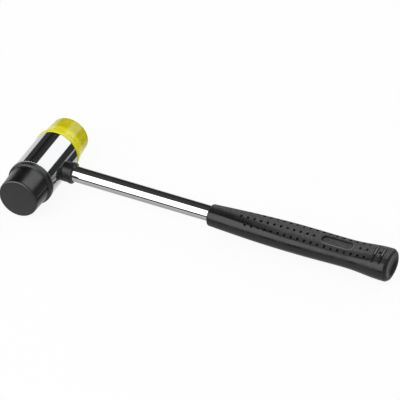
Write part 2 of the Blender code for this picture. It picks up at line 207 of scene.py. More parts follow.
def bands_round(tree, across, up, bands):
    """Grey levels by the angle round an axis: each (first degree, level) holds to the next one."""
    angle = add(tree, "ShaderNodeMath", {0: up, 1: across}, operation="ARCTAN2")
    turns = add(tree, "ShaderNodeMath", {0: angle.outputs[0], 1: math.tau}, operation="DIVIDE")
    share = add(tree, "ShaderNodeMath", {0: turns.outputs[0]}, operation="FRACT")
    ramp = add(tree, "ShaderNodeValToRGB", {"Fac": share.outputs[0]})
    stops = ramp.color_ramp.elements
    stops[0].color = (*[bands[0][1]] * 3, 1.0)
    stops[-1].color = (*[bands[-1][1]] * 3, 1.0)
    for (_, before), (degree, level) in zip(bands, bands[1:]):
        for side, value in ((-1, before), (1, level)):
            stop = stops.new((degree + side * BAND_EDGE / 2) / 360)
            stop.color = (value, value, value, 1.0)
    return ramp.outputs["Color"]


print("Bands:", len(ROUND_HEAD), "round the head,", len(ROUND_HANDLE), "round the handle and",
      len(ROUND_ROOM), "of the room")

# %% Paint the studio in the world
EVEN_LIGHT = 0.55
HEAD_SIDE = (0.30, 0.50)
ROOM_SIDE = (0.12, 0.30)

world = bpy.data.worlds.new("studio")
bpy.context.scene.world = world
world.use_nodes = True
world.cycles.sampling_method = "NONE"
tree = world.node_tree
tree.nodes.clear()
rays = add(tree, "ShaderNodeLightPath")
place = add(tree, "ShaderNodeTexCoord")
towards = add(tree, "ShaderNodeSeparateXYZ", {0: place.outputs["Generated"]})
x, y, z = towards.outputs
head_bands = bands_round(tree, x, z, ROUND_HEAD)
handle_bands = bands_round(tree, y, z, ROUND_HANDLE)
room_bands = bands_round(tree, y, z, ROUND_ROOM)
past_butt = add(tree, "ShaderNodeMapRange", {"Value": x, "From Min": ROOM_SIDE[0],
                                             "From Max": ROOM_SIDE[1]})
near_side = add(tree, "ShaderNodeMix", {0: past_butt.outputs[0], 6: handle_bands, 7: room_bands},
                data_type="RGBA")
side = add(tree, "ShaderNodeMapRange", {"Value": y, "From Min": HEAD_SIDE[0],
                                        "From Max": HEAD_SIDE[1]})
bands = add(tree, "ShaderNodeMix", {0: side.outputs[0], 6: near_side.outputs[2], 7: head_bands},
            data_type="RGBA")
studio = add(tree, "ShaderNodeBackground", {"Color": bands.outputs[2], "Strength": 1.0})
even = add(tree, "ShaderNodeBackground", {"Color": colour("FFFFFF"), "Strength": EVEN_LIGHT})
backdrop = add(tree, "ShaderNodeBackground", {"Color": colour("FFFFFF"), "Strength": 1.0})
seen = add(tree, "ShaderNodeMath", {0: rays.outputs["Is Camera Ray"],
                                    1: rays.outputs["Is Transmission Ray"]}, operation="MAXIMUM")
mirrored = add(tree, "ShaderNodeMixShader", {0: rays.outputs["Is Glossy Ray"], 1: even.outputs[0],
                                             2: studio.outputs[0]})
mixed = add(tree, "ShaderNodeMixShader", {0: seen.outputs[0], 1: mirrored.outputs[0],
                                          2: backdrop.outputs[0]})
add(tree, "ShaderNodeOutputWorld", {"Surface": mixed.outputs[0]})
print("The world has", len(tree.nodes), "nodes")

# %% [markdown]
# ## Two soft boxes
# The world alone would light the matt pieces evenly from all sides, which looks flat. Two large
# area lamps stand where the bright bands say that the soft boxes stood: one over the handle on the
# camera's side, and a weaker one behind the head. Mirror rays don't see them, because the world
# already shows them.

# %% Hang the soft boxes
def soft_box(name, towards, distance, size, watts):
    """A square lamp that faces the mallet from a direction."""
    lamp = bpy.data.lights.new(name, "AREA")
    lamp.size = size
    lamp.energy = watts
    box = in_scene(name, lamp)
    direction = (to_world @ Vector(towards)).normalized()
    facing = direction.to_track_quat("Z", "Y").to_matrix().to_4x4()
    box.matrix_world = Matrix.Translation(direction * distance) @ facing
    box.visible_glossy = False


soft_box("box_over_handle", (-0.43, -0.69, 0.75), distance=1.4, size=1.1, watts=9.0)
soft_box("box_behind_head", (0.31, 0.78, 0.60), distance=1.4, size=0.9, watts=4.0)
print("Lamps:", [lamp.name for lamp in bpy.data.lights])

# %% [markdown]
# ## Turning on a lathe
# The head, the tube, the collar, both tips and their studs are all turned or moulded round forms.
# A lathe needs only half an outline, so each of them is a short list of radii and heights, with its
# rounded corners as arcs, spun round an axis by bmesh. That keeps every corner a real radius. What
# isn't round is lofted from rings of points, and what crosses another form, such as a hole in the
# side, is a Boolean cut that is applied at once.

# %% Lathe helpers
ALONG_HANDLE = Matrix.Rotation(math.pi / 2, 4, "Y")
TO_PLASTIC = Matrix.Rotation(-math.pi / 2, 4, "X")
TO_RUBBER = Matrix.Rotation(math.pi / 2, 4, "X")
WELD = 1e-7


def arc(centre, radius, start, end, steps=5):
    """Points on a round corner of an outline, between two angles in degrees."""
    angles = np.radians(np.linspace(start, end, steps + 1))
    return [(centre[0] + radius * math.cos(a), centre[1] + radius * math.sin(a)) for a in angles]


def turned(name, outline, sides, loop=False):
    """Spins an outline of (radius, height) points round Z into a closed, outward-facing object."""
    shape = bmesh.new()
    points = [shape.verts.new((radius, 0.0, height)) for radius, height in outline]
    edges = [shape.edges.new(pair) for pair in zip(points, points[1:])]
    if loop:
        edges.append(shape.edges.new((points[-1], points[0])))
    bmesh.ops.spin(shape, geom=points + edges, axis=(0, 0, 1), angle=math.tau, steps=sides,
                   use_merge=True)
    bmesh.ops.remove_doubles(shape, verts=shape.verts, dist=WELD)
    bmesh.ops.recalc_face_normals(shape, faces=shape.faces)
    return object_of(name, shape)


def object_of(name, shape):
    """Puts a bmesh into a new object in the scene."""
    made = bpy.data.meshes.new(name)
    shape.to_mesh(made)
    shape.free()
    return in_scene(name, made)


print("A quarter round of 1 mm has", len(arc((0, 0), MM, 0, 90)), "points")


# %% Helpers that loft, cut and move
def loft(name, rings):
    """Joins rings of points into a skin, closed at both ends, with its faces outwards."""
    shape = bmesh.new()
    rows = [[shape.verts.new(point) for point in ring] for ring in rings]
    for near, far in zip(rows, rows[1:]):
        for place, after in zip(range(len(near)), [*range(1, len(near)), 0]):
            shape.faces.new((near[place], near[after], far[after], far[place]))
    for row in (rows[0], rows[-1]):
        middle = shape.verts.new(sum((point.co for point in row), Vector()) / len(row))
        for place, after in zip(row, row[1:] + row[:1]):
            shape.faces.new((place, after, middle))
    bmesh.ops.recalc_face_normals(shape, faces=shape.faces)
    return object_of(name, shape)


def plain(obj):
    """Keeps what the modifiers make as a plain mesh, and removes the modifiers."""
    graph = bpy.context.evaluated_depsgraph_get()
    made = bpy.data.meshes.new_from_object(obj.evaluated_get(graph), depsgraph=graph)
    obj.modifiers.clear()
    obj.data = made
    return obj


def cut(obj, cutter, operation="DIFFERENCE"):
    """Cuts one object out of another, or joins it on, and throws the cutter away."""
    modifier = obj.modifiers.new("cut", "BOOLEAN")
    modifier.operation = operation
    modifier.solver = "EXACT"
    modifier.object = cutter
    plain(obj)
    bpy.data.objects.remove(cutter)
    return obj


def moved(obj, matrix):
    """Moves the points of a mesh, and leaves its object at the origin."""
    obj.data.transform(matrix)
    return obj


print("Points closer than", round(WELD / MM, 4), "mm are welded")

# %% [markdown]
# ## Handing a piece to the frame
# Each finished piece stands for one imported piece. A Boolean cut leaves faces with many corners, and
# slivers among them, so those faces are split and the slivers dissolved first. Then one function
# puts the mesh in place, smooths it between its sharp edges, gives it its finish and says which
# body it rides on. It prints how far the new piece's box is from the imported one's, which shows at
# once if a size has slipped.

# %% Hand over helper
SHARP_EDGE = math.radians(32)
SLIVER = 0.002 * MM


def without_slivers(obj):
    """Splits faces of more than four corners and dissolves those that have no area."""
    shape = bmesh.new()
    shape.from_mesh(obj.data)
    bmesh.ops.triangulate(shape, faces=[face for face in shape.faces if len(face.verts) > 4])
    bmesh.ops.dissolve_degenerate(shape, edges=shape.edges, dist=SLIVER)
    shape.to_mesh(obj.data)
    shape.free()
    return obj


def hand_over(obj, finish, node, body):
    """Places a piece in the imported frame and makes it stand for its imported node."""
    moved(without_slivers(obj), TOOL)
    obj.data.materials.clear()
    obj.data.materials.append(finish)
    obj.data.shade_smooth()
    obj.data.set_sharp_from_angle(angle=SHARP_EDGE)
    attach(obj, body)
    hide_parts(node)
    points = np.array([corner.co for corner in obj.data.vertices])
    low, high = np.array(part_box(node))
    slack = np.concatenate([points.min(0) - low, high - points.max(0)]) / MM
    print(f"{obj.name}: {len(obj.data.polygons)} faces, inside the packed box by "
          f"{slack.min():.2f} to {slack.max():.2f} mm")


print("Edges of more than", round(math.degrees(SHARP_EDGE)), "degrees stay sharp")

# %% [markdown]
# ## Bright chrome plate
# The head and the tube are steel with bright decorative chrome. The steel is ground and buffed
# first, so the mirror isn't perfect: very fine lines run round each bar. They are a few hundredths
# of a millimetre apart on the real thing, drawn here about 0.4 mm apart, and they only make the
# mirror a little softer and rougher from line to line. Handling leaves slightly duller patches a
# few millimetres wide, which blur what the mirror shows there.

# %% Chrome finish
LINE_STEP, LINE_LENGTH, LINE_DEPTH = 0.4 * MM, 25 * MM, 0.02 * MM
PATCH_SIZE = 5 * MM


def bright_chrome(name, line_axis):
    """Buffed chrome whose fine lines follow one another along an axis, 0 for X and 1 for Y."""
    made, tree = finish_named(name)
    place = add(tree, "ShaderNodeTexCoord")
    scale = [1 / LINE_LENGTH] * 3
    scale[line_axis] = 1 / LINE_STEP
    stretched = add(tree, "ShaderNodeMapping", {"Vector": place.outputs["Object"],
                                                "Scale": scale})
    lines = add(tree, "ShaderNodeTexNoise", {"Vector": stretched.outputs[0], "Scale": 1.0,
                                             "Detail": 3.0, "Roughness": 0.6})
    rough = add(tree, "ShaderNodeMapRange", {"Value": lines.outputs["Fac"], "From Min": 0.3,
                                             "From Max": 0.7, "To Min": 0.03, "To Max": 0.075})
    patches = add(tree, "ShaderNodeTexNoise", {"Vector": place.outputs["Object"],
                                               "Scale": 1 / PATCH_SIZE, "Detail": 3.0,
                                               "Roughness": 0.6})
    dull = add(tree, "ShaderNodeMapRange", {"Value": patches.outputs["Fac"], "From Min": 0.50,
                                            "From Max": 0.75, "To Max": 0.10})
    rough = add(tree, "ShaderNodeMath", {0: rough.outputs[0], 1: dull.outputs[0]},
                operation="ADD")
    tint = add(tree, "ShaderNodeMix", {0: lines.outputs["Fac"], 6: colour("C6C7C9"),
                                       7: colour("DBDCDD")}, data_type="RGBA")
    relief = add(tree, "ShaderNodeBump", {"Height": lines.outputs["Fac"], "Strength": 0.04,
                                          "Distance": LINE_DEPTH})
    shader = add(tree, "ShaderNodeBsdfPrincipled",
                 {"Base Color": tint.outputs[2], "Metallic": 1.0, "Roughness": rough.outputs[0],
                  "Normal": relief.outputs[0]})
    add(tree, "ShaderNodeOutputMaterial", {"Surface": shader.outputs[0]})
    return made


head_chrome = bright_chrome("bright_chrome_on_turned_steel", 1)
tube_chrome = bright_chrome("bright_chrome_on_drawn_tube", 0)
print("Finishes:", head_chrome.name, "and", tube_chrome.name)

# %% [markdown]
# ## The steel head
# The head is cut from 35 mm bar. Each end is faced, drilled, countersunk and tapped for a tip, and
# the side is bored for the tube. The whole turned form with both holes is one closed outline; only
# the side bore crosses it, so only that one is a Boolean cut.

# %% Model the head
FIT_GAP = 0.3 * MM
HEAD_RADIUS = 17.5 * MM
HEAD_LENGTH = 40.1 * MM
HANDLE_OFF_CENTRE = 1.8 * MM
HEAD_EDGE = 0.3 * MM
EDGE_SUPPORT = 0.15 * MM
HOLE_DEPTH = 10.6 * MM
COUNTERSINK = 0.8 * MM
SOCKET_DEPTH = 23.5 * MM
STUD_RADIUS = 5.0 * MM
HOLE_RADIUS = STUD_RADIUS + FIT_GAP
TUBE_RADIUS = 6.1 * MM
HEAD_SIDES, TUBE_SIDES, SOCKET_SIDES = 160, 96, 64
RUBBER_SEAT_Y = -HEAD_LENGTH / 2 - HANDLE_OFF_CENTRE
PLASTIC_SEAT_Y = HEAD_LENGTH / 2 - HANDLE_OFF_CENTRE

half = HEAD_LENGTH / 2
end = [(0, half - HOLE_DEPTH), (HOLE_RADIUS, half - HOLE_DEPTH),
       (HOLE_RADIUS, half - COUNTERSINK), (HOLE_RADIUS + COUNTERSINK, half)]
end += arc((HEAD_RADIUS - HEAD_EDGE, half - HEAD_EDGE), HEAD_EDGE, 90, 0)
end += [(HEAD_RADIUS, half - HEAD_EDGE - EDGE_SUPPORT)]
other_end = [(radius, -height) for radius, height in reversed(end)]
head = turned("turned_head", end + other_end, HEAD_SIDES)
moved(head, Matrix.Translation((0, -HANDLE_OFF_CENTRE, 0)) @ TO_PLASTIC)

socket = turned("handle_socket", [(0, HEAD_RADIUS - SOCKET_DEPTH),
                                  (TUBE_RADIUS + FIT_GAP, HEAD_RADIUS - SOCKET_DEPTH),
                                  (TUBE_RADIUS + FIT_GAP, 2 * HEAD_RADIUS),
                                  (0, 2 * HEAD_RADIUS)], SOCKET_SIDES)
cut(head, moved(socket, ALONG_HANDLE))
hand_over(head, head_chrome, "head_body", "handle_and_head")

# %% [markdown]
# ## The tube
# A drawn steel tube, 12.2 mm across with a 1.2 mm wall. It runs from the socket in the head to the
# end of the grip's bore, so its ends are hidden, but they are there.

# %% Model the tube
TUBE_WALL = 1.2 * MM
SOCKET_END_ROOM = 1.0 * MM
TUBE_START = HEAD_RADIUS - SOCKET_DEPTH + SOCKET_END_ROOM
TUBE_END = 277.2 * MM
TUBE_EDGE = 0.3 * MM

bore = TUBE_RADIUS - TUBE_WALL
outline = [(bore, TUBE_START), (TUBE_RADIUS - TUBE_EDGE, TUBE_START),
           (TUBE_RADIUS, TUBE_START + TUBE_EDGE), (TUBE_RADIUS, TUBE_END - TUBE_EDGE),
           (TUBE_RADIUS - TUBE_EDGE, TUBE_END), (bore, TUBE_END)]
tube = turned("drawn_tube", outline, TUBE_SIDES, loop=True)
hand_over(moved(tube, ALONG_HANDLE), tube_chrome, "handle_tube", "handle_and_head")

# %% [markdown]
# ## Black mouldings
# The collar and the rubber tip are both black, but not alike. The collar is moulded nylon, hard
# and with a satin sheen, and the tip is dense rubber with a slightly greasy gloss. One function
# makes both from their colour, their sheen and the size and depth of their grain. The grain of a
# mould is a mix of small round lumps, so it is noise. Real lumps are a few tenths of a millimetre
# wide, too fine to show here, so they are drawn 0.9 mm wide.

# %% Black moulding finish
CLOUD_SIZE = 12 * MM
ROUGHNESS_SPREAD = 0.05


def black_moulding(name, dark, pale, roughness, grain, depth, specular=0.5):
    """A moulded black: two tones, a roughness range and a grain of a real size."""
    made, tree = finish_named(name)
    place = add(tree, "ShaderNodeTexCoord")
    lumps = add(tree, "ShaderNodeTexNoise", {"Vector": place.outputs["Object"],
                                             "Scale": 1 / grain, "Detail": 4.0,
                                             "Roughness": 0.65})
    clouds = add(tree, "ShaderNodeTexNoise", {"Vector": place.outputs["Object"],
                                              "Scale": 1 / CLOUD_SIZE, "Detail": 2.0})
    tone = add(tree, "ShaderNodeMix", {0: lumps.outputs["Fac"], 6: colour(dark),
                                       7: colour(pale)}, data_type="RGBA")
    rough = add(tree, "ShaderNodeMapRange", {"Value": clouds.outputs["Fac"], "From Min": 0.3,
                                             "From Max": 0.7, "To Min": roughness - ROUGHNESS_SPREAD,
                                             "To Max": roughness + ROUGHNESS_SPREAD})
    relief = add(tree, "ShaderNodeBump", {"Height": lumps.outputs["Fac"], "Strength": 1.0,
                                          "Distance": depth})
    shader = add(tree, "ShaderNodeBsdfPrincipled",
                 {"Base Color": tone.outputs[2], "Roughness": rough.outputs[0],
                  "Specular IOR Level": specular, "Normal": relief.outputs[0]})
    add(tree, "ShaderNodeOutputMaterial", {"Surface": shader.outputs[0]})
    return made


collar_black = black_moulding("satin_black_nylon", "101011", "1C1C1D", 0.36, 0.9 * MM, 0.02 * MM)
rubber_black = black_moulding("dense_black_rubber", "070708", "151516", 0.30, 0.9 * MM,
                              0.04 * MM, specular=0.8)
print("Blacks:", collar_black.name, "and", rubber_black.name)

# %% [markdown]
# ## The collar
# A ring of black plastic hides the joint of tube and head. Its inner end is cut like a saddle to
# sit on the round of the head, and its outer end is a little fuller, with a rounded edge.

# %% Model the collar
COLLAR_RADIUS = 7.8 * MM
COLLAR_STANDS_OUT = 6.9 * MM
COLLAR_LIP = 0.4 * MM
COLLAR_LIP_LENGTH = 2.2 * MM
COLLAR_EDGE, COLLAR_INNER_EDGE = 0.9 * MM, 0.3 * MM
SLIDE_GAP = 0.05 * MM

inner = TUBE_RADIUS + SLIDE_GAP
full = COLLAR_RADIUS + COLLAR_LIP
length = HEAD_RADIUS + COLLAR_STANDS_OUT
outline = [(inner, 0), (COLLAR_RADIUS, 0),
           (COLLAR_RADIUS, length - COLLAR_LIP_LENGTH - COLLAR_LIP)]
outline += arc((full - COLLAR_LIP, length - COLLAR_LIP_LENGTH), COLLAR_LIP, -60, 0)
outline += arc((full - COLLAR_EDGE, length - COLLAR_EDGE), COLLAR_EDGE, 0, 80)
outline += arc((inner + COLLAR_INNER_EDGE, length - COLLAR_INNER_EDGE), COLLAR_INNER_EDGE, 90, 180)
collar = moved(turned("saddle_collar", outline, TUBE_SIDES, loop=True), ALONG_HANDLE)
seat = HEAD_RADIUS + SLIDE_GAP
saddle = turned("saddle", [(0, -HEAD_LENGTH), (seat, -HEAD_LENGTH), (seat, HEAD_LENGTH),
                           (0, HEAD_LENGTH)], HEAD_SIDES)
cut(collar, moved(saddle, TO_PLASTIC))
hand_over(collar, collar_black, "neck_collar", "handle_and_head")

# %% [markdown]
# ## The tips
# Both tips have the same plan: a flange that seats on the head, a body that narrows to the face,
# and a pocket round the head of the steel stud. One function gives the outline, and each tip has
# its own sizes.

# %% Outline of a tip
FLANGE_RADIUS = 17.9 * MM
FLANGE_EDGE = 0.7 * MM
GROOVE_AT, SIDE_STEPS = 0.52, 8
STUD_HEAD_BACK = 6.5 * MM
STUD_HEAD_FRONT = 10.5 * MM
STUD_HEAD_RADIUS = 9.0 * MM


def tip_outline(flange, groove, neck, face, length, power, edge, fillet):
    """Half of a tip's section, from the hole in its back round to the middle of its face."""
    front = FIT_GAP + flange
    rim = FLANGE_RADIUS - FLANGE_EDGE
    outline = [(HOLE_RADIUS, FIT_GAP)]
    outline += arc((rim, FIT_GAP + FLANGE_EDGE), FLANGE_EDGE, -90, 0)
    if groove:
        outline += arc((FLANGE_RADIUS, FIT_GAP + flange * GROOVE_AT), groove, -90, -270, 6)
    outline += arc((rim, front - FLANGE_EDGE), FLANGE_EDGE, 0, 90)
    outline += arc((neck + fillet, front + fillet), fillet, 270, 180)
    start, end = front + fillet, FIT_GAP + length - edge
    for share in np.linspace(0, 1, SIDE_STEPS + 1)[1:-1]:
        outline.append((face + (neck - face) * (1 - share) ** power,
                        start + share * (end - start)))
    outline += arc((face - edge, end), edge, 0, 90, 8)
    return outline + [(0, FIT_GAP + length)]


def pocket(gap):
    """The hollow round the stud's head, from the middle of its front to the hole in the back."""
    radius, back, front = STUD_HEAD_RADIUS + gap, STUD_HEAD_BACK - gap, STUD_HEAD_FRONT + gap
    return [(0, front), (radius, front), (radius, back), (HOLE_RADIUS, back)]


print("The rubber tip's pocket is", round(2 * pocket(FIT_GAP)[1][0] / MM, 1), "mm wide")

# %% [markdown]
# ## The rubber tip
# Dense black rubber with a satin sheen, which shows on the side that faces the soft box. Its flange
# has a shallow groove, and a fine line runs down both its sides where the two halves of the mould
# met. The line is a slight ridge, so it is a narrow wedge joined on and not a painted line.

# %% Model the rubber tip
rubber_outline = tip_outline(flange=4.2 * MM, groove=0.22 * MM, neck=16.25 * MM,
                             face=15.65 * MM, length=24.3 * MM, power=1.0, edge=1.5 * MM,
                             fillet=0.8 * MM)
rubber = turned("moulded_rubber_tip", pocket(FIT_GAP) + rubber_outline, HEAD_SIDES)

PARTING_SIDE = math.radians(17)
RIDGE_WIDTH, RIDGE_HEIGHT = 0.9 * MM, 0.22 * MM
RIDGE_PATH = ((5.6 * MM, 16.24 * MM), (14 * MM, 15.98 * MM), (22.6 * MM, 15.66 * MM))
wedge = []
for height, radius in RIDGE_PATH:
    wedge.append([(radius + out, side, height)
                  for out, side in ((-RIDGE_HEIGHT, RIDGE_WIDTH / 2), (RIDGE_HEIGHT, 0.0),
                                    (-RIDGE_HEIGHT, -RIDGE_WIDTH / 2))])
for half_turn in (0, math.pi):
    line = loft("parting_line", wedge)
    cut(rubber, moved(line, Matrix.Rotation(PARTING_SIDE + half_turn, 4, "Z")), "UNION")
to_rubber_seat = Matrix.Translation((0, RUBBER_SEAT_Y, 0)) @ TO_RUBBER
hand_over(moved(rubber, to_rubber_seat), rubber_black, "rubber_tip", "rubber_end")

# %% [markdown]
# ## The clear yellow tip
# Cellulose plastic, moulded clear and dyed yellow. Light goes in, is filtered and comes out again
# elsewhere, so the shader lets a part through and scatters the rest. Its base colour also carries
# painted light. The solid flange is painted a brighter yellow as a painted glow. Further out, where
# the plastic lies round the dark pocket of the stud, it is painted a darker greenish yellow as
# painted shade. Faint streaks, 4 mm wide, show how it was moulded.

# %% Clear plastic finish and its tip
PAINTED_GLOW_ENDS = (28.5 * MM, 33.0 * MM)
STREAK_SIZE = 4 * MM
MOULDED_GAP = 0.02 * MM
clear_yellow, tree = finish_named("clear_yellow_cellulose_acetate")
place = add(tree, "ShaderNodeTexCoord")
streaks = add(tree, "ShaderNodeTexNoise", {"Vector": place.outputs["Object"],
                                           "Scale": 1 / STREAK_SIZE, "Detail": 2.0})
# The flange's brighter yellow is a painted glow, and the darker yellow further out is painted shade
# of the stud's dark pocket.
painted_glow = add(tree, "ShaderNodeMix", {0: streaks.outputs["Fac"], 6: colour("FFF600"),
                                      7: colour("FFFC3C")}, data_type="RGBA")
painted_shade_olive = add(tree, "ShaderNodeMix", {0: streaks.outputs["Fac"], 6: colour("D3CA00"),
                                    7: colour("EAE222")}, data_type="RGBA")
head_way = add(tree, "ShaderNodeSeparateXYZ", {0: place.outputs["Object"]})
into_painted_shade = add(tree, "ShaderNodeMapRange", {"Value": head_way.outputs[1],
                                          "From Min": PAINTED_GLOW_ENDS[0], "From Max": PAINTED_GLOW_ENDS[1]},
             interpolation_type="SMOOTHSTEP")
tone = add(tree, "ShaderNodeMix", {0: into_painted_shade.outputs[0], 6: painted_glow.outputs[2],
                                   7: painted_shade_olive.outputs[2]}, data_type="RGBA")
shader = add(tree, "ShaderNodeBsdfPrincipled",
             {"Base Color": tone.outputs[2], "Roughness": 0.12, "IOR": 1.48,
              "Transmission Weight": 0.22})
add(tree, "ShaderNodeOutputMaterial", {"Surface": shader.outputs[0]})

plastic_outline = tip_outline(flange=3.4 * MM, groove=0, neck=17.15 * MM, face=15.15 * MM,
                              length=23.4 * MM, power=1.5, edge=1.4 * MM, fillet=0.5 * MM)
plastic = turned("moulded_plastic_tip", pocket(MOULDED_GAP) + plastic_outline, HEAD_SIDES)
to_plastic_seat = Matrix.Translation((0, PLASTIC_SEAT_Y, 0)) @ TO_PLASTIC
hand_over(moved(plastic, to_plastic_seat), clear_yellow, "plastic_tip", "plastic_end")

# %% [markdown]
# ## The studs
# Each tip is moulded round the head of a steel stud, and the stud's M10 thread screws into the
# mallet's head. A thread is one ridge that climbs a helix, so Geometry Nodes draw it: a spiral
# curve carries a small triangle along, 1.5 mm higher with each turn. The ridge shrinks to nothing
# at both ends, as a cut thread runs out. The same tree cuts flutes round the stud's head, which on
# the real stud keep it from turning in the tip.

# %% Helpers for trees
def new_tree(name, **sockets):
    """An empty geometry tree with named inputs, and the output of its Group Input node."""
    tree = bpy.data.node_groups.new(name, "GeometryNodeTree")
    tree.interface.new_socket("Geometry", in_out="INPUT", socket_type="NodeSocketGeometry")
    for title, kind in sockets.items():
        tree.interface.new_socket(title, in_out="INPUT", socket_type="NodeSocket" + kind)
    tree.interface.new_socket("Geometry", in_out="OUTPUT", socket_type="NodeSocketGeometry")
    return tree, add(tree, "NodeGroupInput").outputs


def close_tree(tree, geometry, finish):
    """Ends a tree: instances become real and take their finish."""
    real = add(tree, "GeometryNodeRealizeInstances", {0: geometry})
    painted = add(tree, "GeometryNodeSetMaterial", {"Geometry": real.outputs[0],
                                                    "Material": finish})
    add(tree, "NodeGroupOutput", {0: painted.outputs[0]})


def with_tree(obj, tree, **values):
    """Runs a tree on an object with named values, and keeps the result as a plain mesh."""
    modifier = obj.modifiers.new(tree.name, "NODES")
    modifier.node_group = tree
    sockets = {item.name: item.identifier for item in tree.interface.items_tree
               if item.in_out == "INPUT"}
    for title, value in values.items():
        modifier[sockets[title]] = value
    return plain(obj)


print("Trees so far:", len(bpy.data.node_groups))

# %% A tree that winds a thread on a stud
RUN_OUT_SHARE, RUN_OUT_SIZE = 0.09, 0.1

thread_tree, given = new_tree("thread_and_flutes", Pitch="Float", Turns="Float", Radius="Float",
                              Ridge="Float", Start="Float", Flutes="Int", Rim="Float",
                              Middle="Float", Groove="Float", Length="Float", Finish="Material")
climb = add(thread_tree, "ShaderNodeMath", {0: given["Pitch"], 1: given["Turns"]},
            operation="MULTIPLY")
helix = add(thread_tree, "GeometryNodeCurveSpiral",
            {"Resolution": 40, "Rotations": given["Turns"], "Start Radius": given["Radius"],
             "End Radius": given["Radius"], "Height": climb.outputs[0]})
upright = add(thread_tree, "GeometryNodeSetCurveNormal", {"Curve": helix.outputs[0]},
              mode="Z_UP")
share = add(thread_tree, "GeometryNodeSplineParameter")
to_end = add(thread_tree, "ShaderNodeMath", {0: 1.0, 1: share.outputs["Factor"]},
             operation="SUBTRACT")
nearest = add(thread_tree, "ShaderNodeMath", {0: share.outputs["Factor"], 1: to_end.outputs[0]},
              operation="MINIMUM")
height = add(thread_tree, "ShaderNodeMapRange", {"Value": nearest.outputs[0],
                                                 "From Max": RUN_OUT_SHARE,
                                                 "To Min": RUN_OUT_SIZE})
run_out = add(thread_tree, "GeometryNodeSetCurveRadius", {"Curve": upright.outputs[0],
                                                          "Radius": height.outputs[0]})
section = add(thread_tree, "GeometryNodeCurvePrimitiveCircle", {"Resolution": 3,
                                                                "Radius": given["Ridge"]})
ridge = add(thread_tree, "GeometryNodeCurveToMesh",
            {"Curve": run_out.outputs[0], "Profile Curve": section.outputs[0],
             "Scale": height.outputs[0], "Fill Caps": True})
lift = add(thread_tree, "ShaderNodeCombineXYZ", {"Z": given["Start"]})
ridge = add(thread_tree, "GeometryNodeTransform", {"Geometry": ridge.outputs[0],
                                                   "Translation": lift.outputs[0]})
threaded = add(thread_tree, "GeometryNodeMeshBoolean", {"Mesh 2": given["Geometry"]},
               operation="UNION", solver="EXACT")
thread_tree.links.new(ridge.outputs[0], threaded.inputs["Mesh 2"])
print("The thread takes", len(thread_tree.nodes), "nodes")

# %% The same tree cuts the flutes
ring = add(thread_tree, "GeometryNodeMeshCircle", {"Vertices": given["Flutes"],
                                                   "Radius": given["Rim"]})
flute = add(thread_tree, "GeometryNodeMeshCylinder", {"Vertices": 8, "Radius": given["Groove"],
                                                      "Depth": given["Length"]})
flutes = add(thread_tree, "GeometryNodeInstanceOnPoints", {"Points": ring.outputs[0],
                                                           "Instance": flute.outputs[0]})
flutes = add(thread_tree, "GeometryNodeRealizeInstances", {0: flutes.outputs[0]})
raised = add(thread_tree, "ShaderNodeCombineXYZ", {"Z": given["Middle"]})
flutes = add(thread_tree, "GeometryNodeTransform", {"Geometry": flutes.outputs[0],
                                                    "Translation": raised.outputs[0]})
fluted = add(thread_tree, "GeometryNodeMeshBoolean", {"Mesh 1": threaded.outputs[0],
                                                      "Mesh 2": flutes.outputs[0]},
             operation="DIFFERENCE", solver="EXACT")
close_tree(thread_tree, fluted.outputs[0], given["Finish"])
print("The whole tree has", len(thread_tree.nodes), "nodes")

# %% [markdown]
# ## Zinc-plated steel
# The studs are turned and zinc plated: a pale, slightly blue metal that is duller than chrome. The
# tool leaves rings round the axis about 0.15 mm apart, drawn at 0.3 mm.

# %% Zinc finish
MARK_STEP, MARK_DEPTH = 0.3 * MM, 0.02 * MM
SCALE_ACROSS_MARKS = 60.0

zinc, tree = finish_named("zinc_plated_turned_steel")
place = add(tree, "ShaderNodeTexCoord")
stretched = add(tree, "ShaderNodeMapping", {"Vector": place.outputs["Object"],
                                            "Scale": (SCALE_ACROSS_MARKS, 1 / MARK_STEP,
                                                      SCALE_ACROSS_MARKS)})
rings = add(tree, "ShaderNodeTexNoise", {"Vector": stretched.outputs[0], "Scale": 1.0,
                                         "Detail": 2.0})
tone = add(tree, "ShaderNodeMix", {0: rings.outputs["Fac"], 6: colour("B9BDC2"),
                                   7: colour("D4D7DA")}, data_type="RGBA")
rough = add(tree, "ShaderNodeMapRange", {"Value": rings.outputs["Fac"], "To Min": 0.24,
                                         "To Max": 0.40})
relief = add(tree, "ShaderNodeBump", {"Height": rings.outputs["Fac"], "Strength": 0.3,
                                      "Distance": MARK_DEPTH})
shader = add(tree, "ShaderNodeBsdfPrincipled",
             {"Base Color": tone.outputs[2], "Metallic": 1.0, "Roughness": rough.outputs[0],
              "Normal": relief.outputs[0]})
add(tree, "ShaderNodeOutputMaterial", {"Surface": shader.outputs[0]})
print("Finish:", zinc.name)

# %% Model the studs
THREAD_PITCH = 1.5 * MM
THREAD_RADIUS, THREAD_ROOT = 4.98 * MM, 4.15 * MM
THREAD_REACH, THREAD_TURNS = 9.2 * MM, 5.6
THREAD_STOPS = (-0.2 * MM, 0.6 * MM)
RIDGE = 0.75 * MM
SHANK_RADIUS = 4.95 * MM
STUD_SIDES, STUD_EDGE, STUD_POINT = 72, 0.6 * MM, 0.8 * MM
FLUTES, FLUTE_STANDS_OUT = 30, 0.16 * MM
FLUTE_RADIUS, FLUTE_LENGTH = 0.42 * MM, 4.6 * MM

